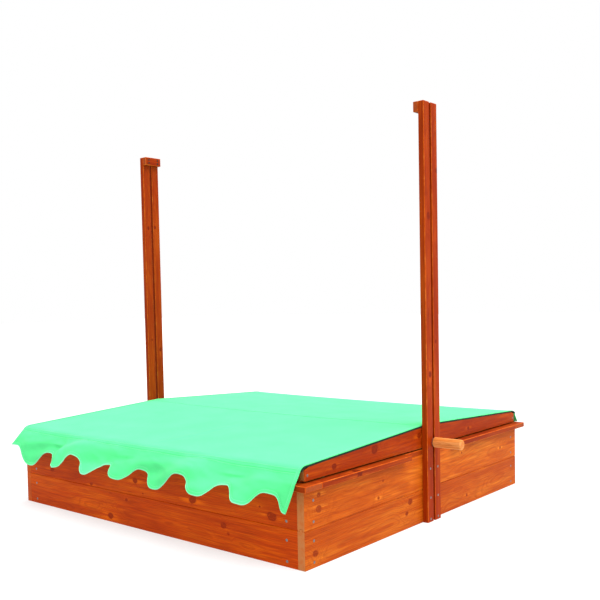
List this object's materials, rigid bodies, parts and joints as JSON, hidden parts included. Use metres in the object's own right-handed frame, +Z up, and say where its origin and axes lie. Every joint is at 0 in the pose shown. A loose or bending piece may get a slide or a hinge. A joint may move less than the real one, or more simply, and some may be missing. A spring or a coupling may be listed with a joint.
{
  "type": "sandbox with cover",
  "caption": "Square wooden sandbox with a seat rim and a scalloped cloth roof that slides up slotted posts, as cover or sun shade.",
  "frame": {"origin": "middle of the box's footprint, on the ground", "axes": "+X towards the right side wall and its post, +Y towards the back wall, +Z up"},
  "size_m": [1.656, 1.588, 1.43],
  "materials": {
    "stained_pine": "satin stain on planed pine",
    "pale_dowel": "smooth satin",
    "mint_cloth": "matt woven polyester",
    "zinc_steel": "zinc plated",
    "brass_insert": "machined"
  },
  "bodies": {
    "box": {"front_lower_board": "stained_pine", "front_upper_board": "stained_pine", "back_lower_board": "stained_pine", "back_upper_board": "stained_pine", "left_lower_board": "stained_pine", "left_upper_board": "stained_pine", "right_lower_board": "stained_pine", "right_upper_board": "stained_pine", "front_left_corner_block": "stained_pine", "front_right_corner_block": "stained_pine", "back_left_corner_block": "stained_pine", "back_right_corner_block": "stained_pine", "front_rim_board": "stained_pine", "back_rim_board": "stained_pine", "left_rim_board": "stained_pine", "right_rim_board": "stained_pine", "left_post_front_slat": "stained_pine", "left_post_back_slat": "stained_pine", "right_post_front_slat": "stained_pine", "right_post_back_slat": "stained_pine", "left_stop_block": "stained_pine", "right_stop_block": "stained_pine", "wall_screws": "zinc_steel", "rim_screws": "zinc_steel", "post_screws": "zinc_steel", "stop_block_screws": "zinc_steel"},
    "roof": {"left_gable_board": "stained_pine", "right_gable_board": "stained_pine", "front_beam": "stained_pine", "back_beam": "stained_pine", "ridge_batten": "stained_pine", "cover_cloth": "mint_cloth", "left_clamp_bolt": "zinc_steel", "right_clamp_bolt": "zinc_steel", "left_washer": "zinc_steel", "right_washer": "zinc_steel", "roof_screws": "zinc_steel", "cloth_staples": "zinc_steel"},
    "left_clamp": {"left_handle": "pale_dowel", "left_threaded_insert": "brass_insert"},
    "right_clamp": {"right_handle": "pale_dowel", "right_threaded_insert": "brass_insert"}
  },
  "joints": [
    {"name": "roof_lift", "type": "slide", "parent": "box", "child": "roof", "axis": [0, 0, 1], "range_m": [0, 1.058]},
    {"name": "left_handle_turn", "type": "hinge", "parent": "roof", "child": "left_clamp", "pos_m": [-0.723, 0, 0.274], "axis": [-1, 0, 0], "range_deg": [0, 540]},
    {"name": "right_handle_turn", "type": "hinge", "parent": "roof", "child": "right_clamp", "pos_m": [0.723, 0, 0.274], "axis": [1, 0, 0], "range_deg": [0, 540]}
  ]
}
